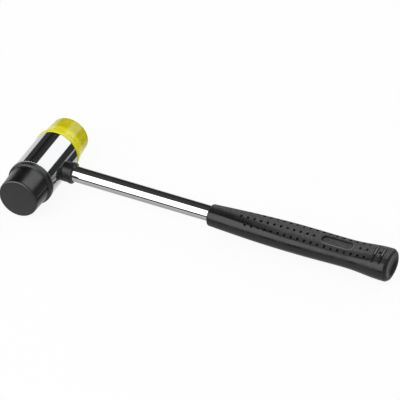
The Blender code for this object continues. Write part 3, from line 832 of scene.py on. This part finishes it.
stud_outline = [(0, -THREAD_REACH), (THREAD_ROOT - STUD_POINT, -THREAD_REACH),
                (THREAD_ROOT, -THREAD_REACH + STUD_POINT), (THREAD_ROOT, THREAD_STOPS[0]),
                (SHANK_RADIUS, THREAD_STOPS[1]), (SHANK_RADIUS, STUD_HEAD_BACK)]
rim = STUD_HEAD_RADIUS - STUD_EDGE
stud_outline += arc((rim, STUD_HEAD_BACK + STUD_EDGE), STUD_EDGE, -90, 0, 3)
stud_outline += arc((rim, STUD_HEAD_FRONT - STUD_EDGE), STUD_EDGE, 0, 90, 3)
stud_outline += [(0, STUD_HEAD_FRONT)]
for name, seat, body in (("rubber", to_rubber_seat, "rubber_stud"),
                         ("plastic", to_plastic_seat, "plastic_stud")):
    stud = turned(f"threaded_stud_in_{name}_tip", stud_outline, STUD_SIDES)
    with_tree(stud, thread_tree, Pitch=THREAD_PITCH, Turns=THREAD_TURNS,
              Radius=THREAD_RADIUS - RIDGE, Ridge=RIDGE, Start=-THREAD_REACH + RIDGE / 2,
              Flutes=FLUTES, Rim=STUD_HEAD_RADIUS + FLUTE_STANDS_OUT,
              Middle=(STUD_HEAD_BACK + STUD_HEAD_FRONT) / 2, Groove=FLUTE_RADIUS,
              Length=FLUTE_LENGTH, Finish=zinc)
    hand_over(moved(stud, seat), zinc, f"{name}_tip_stud", body)

# %% [markdown]
# ## The form of the grip
# The grip is one soft moulding that is pushed over the tube. Along its length it swells for the
# palm, draws in at a waist and flares at the butt, and its section is an oval, a little fuller than
# an ellipse and turned on the tube. Each cheek has a pad that lies a little lower than the sides,
# with a soft shoulder between them. A form that follows a rule like that is a loft: one function
# gives the oval at any distance from the mouth, and rings of points are joined into a skin. The
# skin starts at the bottom of the bore, turns over the lip at the mouth and ends on the butt, so it
# is one closed wall.

# %% The grip's sizes
GRIP_START = 136.5 * MM
GRIP_LENGTH = 148.5 * MM
BORE_DEPTH = 141.0 * MM
MOUTH_DIAMETER = 16.0 * MM
SWELL, SWELL_AT = (22.4 * MM, 19.9 * MM), 75.0 * MM
WAIST, WAIST_AT = (21.8 * MM, 19.3 * MM), GRIP_LENGTH - 36.0 * MM
BUTT, FLARE_AT = (25.7 * MM, 23.0 * MM), GRIP_LENGTH - 4.4 * MM
OVAL_POWER = 2.25
GRIP_ROLL = math.radians(12)
OFF_CENTRE = (-0.7 * MM, 1.1 * MM)
OFF_CENTRE_SIDE = math.radians(50)
NEAR_SHOULDER = [(0.0, 0.4 * MM), (15 * MM, 1.3 * MM), (35 * MM, 3.1 * MM), (60 * MM, 5.3 * MM),
                 (85 * MM, 5.8 * MM), (110 * MM, 5.9 * MM), (135 * MM, 5.3 * MM)]
FAR_SHOULDER = [(0.0, 6.2 * MM), (15 * MM, 7.1 * MM), (35 * MM, 8.3 * MM), (60 * MM, 9.2 * MM),
                (110 * MM, 9.1 * MM), (135 * MM, 10.4 * MM)]
NEAR_WIDTH, FAR_WIDTH = 7.6 * MM, 3.5 * MM
STEP_FROM = 0.52
PAD_DROP = 0.45 * MM
PAD_START, PAD_STOP = 3 * MM, GRIP_LENGTH - 4.5 * MM
PAD_FADES, PAD_TILTS = 20 * MM, 7 * MM
print("The grip is", round(GRIP_LENGTH / MM, 1), "mm long, its bore", round(BORE_DEPTH / MM, 1))


# %% The grip's oval at any place
def grip_size(along):
    """Width and thickness of the oval at a distance from the mouth."""
    rise = math.sin(math.pi / 2 * min(along / SWELL_AT, 1.0))
    draw = (1 - math.cos(math.pi * min(max((along - SWELL_AT) / (WAIST_AT - SWELL_AT), 0), 1))) / 2
    flare = (1 - math.cos(math.pi * min(max((along - WAIST_AT) / (FLARE_AT - WAIST_AT), 0), 1))) / 2
    return [MOUTH_DIAMETER + rise * (swell - MOUTH_DIAMETER) + draw * (waist - swell)
            + flare * (butt - waist) for swell, waist, butt in zip(SWELL, WAIST, BUTT)]


def zone_at(along, across):
    """Where a place lies: 0 on the pad, about a half on the shoulder beside it, 1 on the side."""
    near = (-across - np.interp(along, *np.transpose(NEAR_SHOULDER))) / NEAR_WIDTH
    far = (across - np.interp(along, *np.transpose(FAR_SHOULDER))) / FAR_WIDTH
    return np.clip(np.maximum(near, far) + 0.5, 0, 1)


def pad_drop(along, across):
    """How far the pad lies below the oval: most at the near shoulder, nothing at its other edges."""
    step = np.clip((zone_at(along, across) - STEP_FROM) / (1 - STEP_FROM), 0, 1)
    rise = step ** 3 * (step * (6 * step - 15) + 10)
    from_ends = np.minimum(along - PAD_START, 2 * (PAD_STOP - along)) / PAD_FADES
    return (PAD_DROP * (1 - rise) * np.clip(from_ends, 0, 1)
            * np.clip(0.5 - across / (2 * PAD_TILTS), 0, 1))


def on_grip(along, across, up):
    """A point from its place along the grip, and across and up in the turned oval."""
    off = OFF_CENTRE[0] + (OFF_CENTRE[1] - OFF_CENTRE[0]) * along / GRIP_LENGTH
    return (GRIP_START + along,
            off * math.cos(OFF_CENTRE_SIDE) + across * math.cos(GRIP_ROLL) - up * math.sin(GRIP_ROLL),
            off * math.sin(OFF_CENTRE_SIDE) + across * math.sin(GRIP_ROLL) + up * math.cos(GRIP_ROLL))


def oval(along, inset, sides):
    """A ring of points on the grip's oval with its pads, a little way inside it."""
    width, thickness = [size / 2 - inset for size in grip_size(along)]
    ring = []
    for angle in np.linspace(0, math.tau, sides, endpoint=False):
        across = width * math.copysign(abs(math.cos(angle)) ** (2 / OVAL_POWER), math.cos(angle))
        up = thickness * abs(math.sin(angle)) ** (2 / OVAL_POWER)
        up -= min(pad_drop(along, across), up / 2)
        ring.append(on_grip(along, across, math.copysign(up, math.sin(angle))))
    return ring


print("The grip at its swell is", [round(size / MM, 1) for size in grip_size(SWELL_AT)], "mm")

# %% Loft the grip
GRIP_SIDES = 160
RING_STEP = 0.7 * MM
BORE_RADIUS, BORE_RINGS = TUBE_RADIUS + SLIDE_GAP, 40
BORE_STOP, BORE_EDGE = 0.4 * MM, ((0.15 * MM, 0.08 * MM), (0.0, 0.3 * MM))
MOUTH_EDGE = 1.5 * MM
BUTT_CHAMFER = 2.2 * MM
BUTT_ROUND = 0.5 * MM
CHAMFER_START = ((-0.2 * MM, 0.02 * MM), (0.15 * MM, 0.14 * MM), (0.5 * MM, 0.34 * MM))
CHAMFER_END = ((0.5 * MM, 1.10 * MM), (0.15 * MM, 1.36 * MM), (0.02 * MM, 1.62 * MM),
               (0.0, 1.9 * MM))
DISH_DEPTH, DISH_INSET, DISH_WIDTH, DISH_RINGS = 1.2 * MM, 2.3 * MM, 7.6 * MM, 14


def bore_ring(along, radius):
    """A ring of points round the tube's own axis."""
    angles = np.linspace(0, math.tau, GRIP_SIDES, endpoint=False) + GRIP_ROLL
    return [(GRIP_START + along, radius * math.cos(a), radius * math.sin(a)) for a in angles]


rings = [bore_ring(along, BORE_RADIUS)
         for along in np.linspace(BORE_DEPTH, BORE_STOP, BORE_RINGS)]
rings += [bore_ring(along, BORE_RADIUS + out) for along, out in BORE_EDGE]
rings += [oval(MOUTH_EDGE - along, MOUTH_EDGE - out, GRIP_SIDES)
          for out, along in arc((0, 0), MOUTH_EDGE, 90, 0, 8)]
body_end = GRIP_LENGTH - BUTT_CHAMFER
steps = round((body_end - MOUTH_EDGE) / RING_STEP)
rings += [oval(along, 0, GRIP_SIDES)
          for along in np.linspace(MOUTH_EDGE, body_end - BUTT_ROUND, steps)[1:]]
rings += [oval(body_end + past, inset, GRIP_SIDES) for past, inset in CHAMFER_START]
rings += [oval(GRIP_LENGTH - before, inset, GRIP_SIDES) for before, inset in CHAMFER_END]
for share in np.linspace(0, 1, DISH_RINGS)[:-1]:
    sunk = DISH_DEPTH * math.sin(share * math.pi / 2) ** 2
    rings.append(oval(GRIP_LENGTH - sunk, DISH_INSET + share * DISH_WIDTH, GRIP_SIDES))
grip = loft("moulded_grip", rings)
print("The loft has", len(rings), "rings of", GRIP_SIDES, "points")

# %% [markdown]
# ## The panel and the ribs
# Each cheek has a sunk panel with round ends, whose walls lean out a little so that the moulding
# leaves its mould, and a fine lip along its lower border. Two rounded ribs cross the cheek just
# before the butt, each in a shallow trough. The panel is cut with a block that widens upwards. A
# rib is a bar with an oval section that follows a path on the cheek: a wide one cuts the trough, a
# narrow one is joined on as the rib, and a finer one is the panel's lip.

# %% Shapes that follow the cheek
PANEL_AT = 104.7 * MM
PANEL_LENGTH, PANEL_WIDTH, PANEL_DEPTH = 25.5 * MM, 7.0 * MM, 1.8 * MM
PANEL_DRAFT, FLOOR_EDGE = 0.25 * MM, 0.12 * MM
CUTTER_TOP, CUTTER_FLARE = 3 * MM, 0.6 * MM
RIB_AT = (GRIP_LENGTH - 12.4 * MM, GRIP_LENGTH - 6.5 * MM)
RIB_LENGTH, RIB_OFF_CENTRE = 14.5 * MM, -1.2 * MM
RIB_WIDTH, RIB_HEIGHT = 1.1 * MM, 0.5 * MM
TROUGH_WIDTH, TROUGH_DEPTH, TROUGH_LONGER = 2.8 * MM, 0.35 * MM, 1.2 * MM
LIP_WIDTH, LIP_HEIGHT = 0.6 * MM, 0.24 * MM
LIP_FROM, LIP_TO, LIP_POINTS = 205, 55, 30
BAR_SIDES, BAR_STEPS, BAR_TAPER, BAR_END = 16, 41, 8, 0.02
CHEEKS = (1, -1)


def cheek_height(along, across):
    """How high the cheek stands over the grip's middle at a place on it."""
    width, thickness = [size / 2 for size in grip_size(along)]
    level = thickness * (1 - min(abs(across) / width, 1.0) ** OVAL_POWER) ** (1 / OVAL_POWER)
    return level - pad_drop(along, across)


def panel_ring(side, up, grown):
    """The round-ended outline of the panel at a height, a little larger or smaller."""
    straight, radius = (PANEL_LENGTH - PANEL_WIDTH) / 2, PANEL_WIDTH / 2 + grown
    end = arc((straight, 0), radius, -90, 90, 24)
    return [on_grip(PANEL_AT + x, y, side * up) for x, y in end + [(-x, -y) for x, y in end]]


def bar(side, path, width, height):
    """A bar with an oval section that follows a path on the cheek, and thins out at both ends."""
    sections = []
    for place, point, step in zip(np.linspace(-1, 1, len(path)), path, np.gradient(path, axis=0)):
        size = max(1 - abs(place) ** BAR_TAPER, BAR_END) ** 0.5
        out = size * width / 2 * np.array((step[1], -step[0])) / np.hypot(*step)
        base = cheek_height(*point)
        sections.append([on_grip(*(point + out * math.cos(a)),
                                 side * (base + size * height * math.sin(a)))
                         for a in np.linspace(0, math.tau, BAR_SIDES, endpoint=False)])
    return loft("bar", sections)


def rib_path(along, length):
    """A straight path across the cheek."""
    return np.array([(along, RIB_OFF_CENTRE + share * length)
                     for share in np.linspace(-0.5, 0.5, BAR_STEPS)])


def lip_path():
    """The path of the lip: round the left end of the panel, along its border and up the right."""
    straight, radius = (PANEL_LENGTH - PANEL_WIDTH) / 2, PANEL_WIDTH / 2 + LIP_WIDTH / 2
    left = arc((-straight, 0), radius, LIP_FROM, 270, 8)
    right = arc((straight, 0), radius, -90, LIP_TO, 16)
    border = [(x, -radius) for x in np.linspace(-straight, straight, LIP_POINTS)[1:-1]]
    return np.array(left + border + right) + (PANEL_AT, 0)


print("At the panel the cheek stands", round(cheek_height(PANEL_AT, 0) / MM, 2), "mm high")

# %% Sink the panel and raise the ribs
for side in CHEEKS:
    floor = cheek_height(PANEL_AT, 0) - PANEL_DEPTH
    block = loft("panel_block", [panel_ring(side, floor, -PANEL_DRAFT - FLOOR_EDGE),
                                 panel_ring(side, floor + FLOOR_EDGE, -PANEL_DRAFT),
                                 panel_ring(side, floor + PANEL_DEPTH, 0.0),
                                 panel_ring(side, floor + CUTTER_TOP, CUTTER_FLARE)])
    cut(grip, block)
    cut(grip, bar(side, lip_path(), LIP_WIDTH, LIP_HEIGHT), "UNION")
    for along in RIB_AT:
        cut(grip, bar(side, rib_path(along, RIB_LENGTH + TROUGH_LONGER), TROUGH_WIDTH, TROUGH_DEPTH))
        cut(grip, bar(side, rib_path(along, RIB_LENGTH), RIB_WIDTH, RIB_HEIGHT), "UNION")
print("The grip has", len(grip.data.polygons), "faces with its panels and ribs")

# %% [markdown]
# ## The pits
# Three rows of small pits give each cheek its hold. They stand 5.4 mm apart, the two outer rows
# 6.15 mm from the middle one, and the middle row leaves room for the panel and the ribs. Python
# lists the spots by that rule. Geometry Nodes then drop each spot on to the cheek with a ray, turn
# a small cutter to the surface there, and make all the cutters real, so that one Boolean sinks
# them all. A pit is about 2 mm across and 2 mm deep, with a flared rim.

# %% A tree that stands cutters on a surface
pit_tree, given = new_tree("pits_on_cheek", Surface="Object", Cutter="Object", Reach="Float",
                           Finish="Material")
surface = add(pit_tree, "GeometryNodeObjectInfo", {"Object": given["Surface"]})
cutter = add(pit_tree, "GeometryNodeObjectInfo", {"Object": given["Cutter"]})
pull = add(pit_tree, "GeometryNodeInputNamedAttribute", {"Name": "pull"},
           data_type="FLOAT_VECTOR")
ray = add(pit_tree, "GeometryNodeRaycast", {"Target Geometry": surface.outputs["Geometry"],
                                            "Ray Direction": pull.outputs[0],
                                            "Ray Length": given["Reach"]})
landed = add(pit_tree, "GeometryNodeSetPosition", {"Geometry": given["Geometry"],
                                                   "Position": ray.outputs["Hit Position"]})
turned_to = add(pit_tree, "FunctionNodeAlignRotationToVector",
                {"Vector": ray.outputs["Hit Normal"]}, axis="Z")
standing = add(pit_tree, "GeometryNodeInstanceOnPoints",
               {"Points": landed.outputs[0], "Instance": cutter.outputs["Geometry"],
                "Rotation": turned_to.outputs[0]})
close_tree(pit_tree, standing.outputs[0], given["Finish"])
print("The pit tree has", len(pit_tree.nodes), "nodes")

# %% Sink the pits
PIT_PITCH = 5.4 * MM
PIT_START = 26.4 * MM
PIT_ROW = 6.15 * MM
PIT_RADIUS, PIT_DEPTH, PIT_FLARE = 0.98 * MM, 2.0 * MM, 0.16 * MM
PIT_BRIM, PIT_TOP, PIT_SIDES = 0.03 * MM, 0.5 * MM, 14
SPOT_HEIGHT, SPOT_REACH = 20 * MM, 30 * MM

middle_row = [*range(12), 18, 19, 21]
spots = [(number, 0.0) for number in middle_row]
spots += [(number, row) for row in (-PIT_ROW, PIT_ROW) for number in range(1, 20)]
points = [on_grip(PIT_START + number * PIT_PITCH, across, side * SPOT_HEIGHT)
          for side in CHEEKS for number, across in spots]
pulls = [np.array(on_grip(0, 0, -side)) - np.array(on_grip(0, 0, 0))
         for side in CHEEKS for _ in spots]
mesh = bpy.data.meshes.new("spots")
mesh.from_pydata(points, [], [])
mesh.attributes.new("pull", "FLOAT_VECTOR", "POINT").data.foreach_set("vector", np.ravel(pulls))
pits = in_scene("spots", mesh)
pit = turned("pit", [(0, -PIT_DEPTH), (0.7 * PIT_RADIUS, 0.2 * PIT_RADIUS - PIT_DEPTH),
                     (PIT_RADIUS, 0.7 * PIT_RADIUS - PIT_DEPTH), (PIT_RADIUS, -PIT_FLARE),
                     (PIT_RADIUS + PIT_FLARE, PIT_BRIM), (PIT_RADIUS + PIT_FLARE, PIT_TOP),
                     (0, PIT_TOP)], PIT_SIDES)
with_tree(pits, pit_tree, Surface=grip, Cutter=pit, Reach=SPOT_REACH, Finish=rubber_black)
bpy.data.objects.remove(pit)
cut(grip, pits)
print(len(points), "pits; the grip has", len(grip.data.polygons), "faces")

# %% [markdown]
# ## Soft black vinyl
# The mould of the grip was etched on both cheeks, between and round the pits: that pad is paler and
# duller and shows a grain about 1.1 mm wide. A dull dark shoulder runs beside the pad, and the
# sides are smooth and carry soft reflections. The pad is narrow at the mouth and widens along the
# grip, so one number per point says where it lies: 0 on the pad, 0.5 on the shoulder, 1 on the side.
# It is worked out with numpy and stored on the mesh as an attribute that the material reads. Two
# more attributes mark faces. The walls of pits, panel and troughs, and the parts of the ribs low on
# the cheek, were left out by the etching, so they are dull, and they are painted near black as
# painted shade. The crests of the lip and the ribs are painted pale grey as a painted highlight,
# except low on the cheek. Slow clouds, 14 mm across, make the gloss uneven and the surface a little
# wavy.

# %% Mark the pad, the shoulder and the side
END_FACE, END_FACE_ZONE = GRIP_LENGTH - 0.6 * BUTT_CHAMFER, 0.8


def in_grip(points):
    """Undoes on_grip for rows of points: their places along, across and up."""
    along = points[:, 0] - GRIP_START
    off = OFF_CENTRE[0] + (OFF_CENTRE[1] - OFF_CENTRE[0]) * along / GRIP_LENGTH
    y = points[:, 1] - off * math.cos(OFF_CENTRE_SIDE)
    z = points[:, 2] - off * math.sin(OFF_CENTRE_SIDE)
    return (along, y * math.cos(GRIP_ROLL) + z * math.sin(GRIP_ROLL),
            z * math.cos(GRIP_ROLL) - y * math.sin(GRIP_ROLL))


along, across, _ = in_grip(np.array([point.co for point in grip.data.vertices]))
zone = np.where(along > END_FACE, END_FACE_ZONE, zone_at(along, across))
grip.data.attributes.new("zone", "FLOAT", "POINT").data.foreach_set("value", zone)
print(f"{np.mean(zone < 0.25):.0%} of the points are on the pads")

# %% Mark the walls with their painted shade and the crests with their painted highlight
CHEEK_REACH, CHEEK_ENDS = 9 * MM, (20 * MM, GRIP_LENGTH - 3 * MM)
OUT_OF_BORE = BORE_RADIUS + 0.2 * MM
OFF_LEVEL, STEEP = 0.08 * MM, 0.75
PAINTED_HIGHLIGHT_ABOVE = -2.8 * MM

centres = np.array([face.center for face in grip.data.polygons])
facing = np.array([face.normal for face in grip.data.polygons])
along, across, up = in_grip(centres)
level = np.array([cheek_height(*place) for place in zip(np.clip(along, 0, GRIP_LENGTH), across)])
sunk = level - np.abs(up)
flat = np.abs(facing[:, 2] * math.cos(GRIP_ROLL) - facing[:, 1] * math.sin(GRIP_ROLL))
on_cheek = ((np.abs(across) < CHEEK_REACH) & (along > CHEEK_ENDS[0]) & (along < CHEEK_ENDS[1])
            & (np.hypot(centres[:, 1], centres[:, 2]) > OUT_OF_BORE))
by_ribs = along > RIB_AT[0] - TROUGH_WIDTH
in_pit = np.zeros(len(centres), bool)
for number, row in spots:
    from_pit = np.hypot(along - PIT_START - number * PIT_PITCH, across - row)
    in_pit |= from_pit < PIT_RADIUS + PIT_FLARE
# Walls, pits and the rib parts low on the cheek take painted shade; the crests higher up take a
# painted highlight.
wall = on_cheek & (in_pit | (sunk > OFF_LEVEL) & ((flat < STEEP) | by_ribs))
raised = on_cheek & ~in_pit & (sunk < -OFF_LEVEL)
crest = raised & ~(by_ribs & (across < PAINTED_HIGHLIGHT_ABOVE))
wall |= raised & ~crest
grip.data.attributes.new("unetched_painted_shade", "FLOAT", "FACE").data.foreach_set("value", wall.astype(float))
grip.data.attributes.new("crest_painted_highlight", "FLOAT", "FACE").data.foreach_set("value", crest.astype(float))
print(int(wall.sum()), "faces in pits and walls,", int(crest.sum()), "on lips and ribs")

# %% Vinyl colours
GRAIN_SIZE, WAVE_SIZE = 1.1 * MM, 14 * MM

grip_vinyl, tree = finish_named("etched_soft_black_vinyl")
place = add(tree, "ShaderNodeTexCoord")
zone_of = add(tree, "ShaderNodeAttribute", attribute_name="zone").outputs["Fac"]
grain = add(tree, "ShaderNodeTexNoise", {"Vector": place.outputs["Object"],
                                         "Scale": 1 / GRAIN_SIZE, "Detail": 3.0,
                                         "Roughness": 0.6})
spread = add(tree, "ShaderNodeMapRange", {"Value": grain.outputs["Fac"], "From Min": 0.32,
                                          "From Max": 0.68})
clouds = add(tree, "ShaderNodeTexNoise", {"Vector": place.outputs["Object"],
                                          "Scale": 1 / WAVE_SIZE, "Detail": 3.0})
blend = add(tree, "ShaderNodeMix", {0: spread.outputs[0], 6: colour("333334"),
                                    7: colour("5C5C5D")}, data_type="RGBA")
smooth = add(tree, "ShaderNodeMix", {0: clouds.outputs["Fac"], 6: colour("0B0B0C"),
                                     7: colour("181819")}, data_type="RGBA")
unetched_painted_shade = add(tree, "ShaderNodeAttribute", attribute_name="unetched_painted_shade").outputs["Fac"]
crest_painted_highlight = add(tree, "ShaderNodeAttribute", attribute_name="crest_painted_highlight").outputs["Fac"]
on_pad = add(tree, "ShaderNodeMapRange", {"Value": zone_of, "From Min": 0.04, "From Max": 0.52,
                                          "To Min": 1.0, "To Max": 0.0},
             interpolation_type="SMOOTHSTEP")
tone = add(tree, "ShaderNodeMix", {0: on_pad.outputs[0], 6: smooth.outputs[2],
                                   7: blend.outputs[2]}, data_type="RGBA")
# Near black on walls, pits and low rib parts is painted shade.
tone = add(tree, "ShaderNodeMix", {0: unetched_painted_shade, 6: tone.outputs[2], 7: colour("060607")},
           data_type="RGBA")
# Pale grey on the crests of the lip and the ribs is a painted highlight.
tone = add(tree, "ShaderNodeMix", {0: crest_painted_highlight, 6: tone.outputs[2], 7: colour("747475")},
           data_type="RGBA")
print("The vinyl's colours take", len(tree.nodes), "nodes")

# %% Vinyl gloss and grain, and hand over
UNEVEN_GLOSS, PIT_ROUGHNESS = 0.54, 0.75
GRAIN_MORE_ON_PAD, GRAIN_ELSEWHERE = 0.8, 0.15
GRAIN_DEPTH, WAVE_DEPTH, SHOULDER_RISE = 0.05 * MM, 0.5 * MM, 0.3 * MM

gloss = add(tree, "ShaderNodeMapRange", {"Value": zone_of, "From Min": 0.5, "From Max": 1.0,
                                         "To Min": 0.30, "To Max": 0.06},
            interpolation_type="SMOOTHSTEP")
uneven = add(tree, "ShaderNodeMath", {0: clouds.outputs["Fac"], 1: UNEVEN_GLOSS,
                                      2: gloss.outputs[0]}, operation="MULTIPLY_ADD")
rough = add(tree, "ShaderNodeMix", {0: unetched_painted_shade, 2: uneven.outputs[0], 3: PIT_ROUGHNESS},
            data_type="FLOAT")
depth = add(tree, "ShaderNodeMath", {0: on_pad.outputs[0], 1: GRAIN_MORE_ON_PAD,
                                     2: GRAIN_ELSEWHERE}, operation="MULTIPLY_ADD")
step = add(tree, "ShaderNodeMapRange", {"Value": zone_of, "From Min": STEP_FROM},
           interpolation_type="SMOOTHERSTEP")
waves = add(tree, "ShaderNodeBump", {"Height": clouds.outputs["Fac"], "Strength": 1.0,
                                     "Distance": WAVE_DEPTH})
shoulder = add(tree, "ShaderNodeBump", {"Height": step.outputs[0], "Strength": 1.0,
                                        "Distance": SHOULDER_RISE,
                                        "Normal": waves.outputs[0]})
relief = add(tree, "ShaderNodeBump", {"Height": grain.outputs["Fac"],
                                      "Strength": depth.outputs[0], "Distance": GRAIN_DEPTH,
                                      "Normal": shoulder.outputs[0]})
shader = add(tree, "ShaderNodeBsdfPrincipled",
             {"Base Color": tone.outputs[2], "Roughness": rough.outputs[0],
              "Specular IOR Level": 0.45, "Normal": relief.outputs[0]})
add(tree, "ShaderNodeOutputMaterial", {"Surface": shader.outputs[0]})
hand_over(grip, grip_vinyl, "grip_sleeve", "handle_and_head")
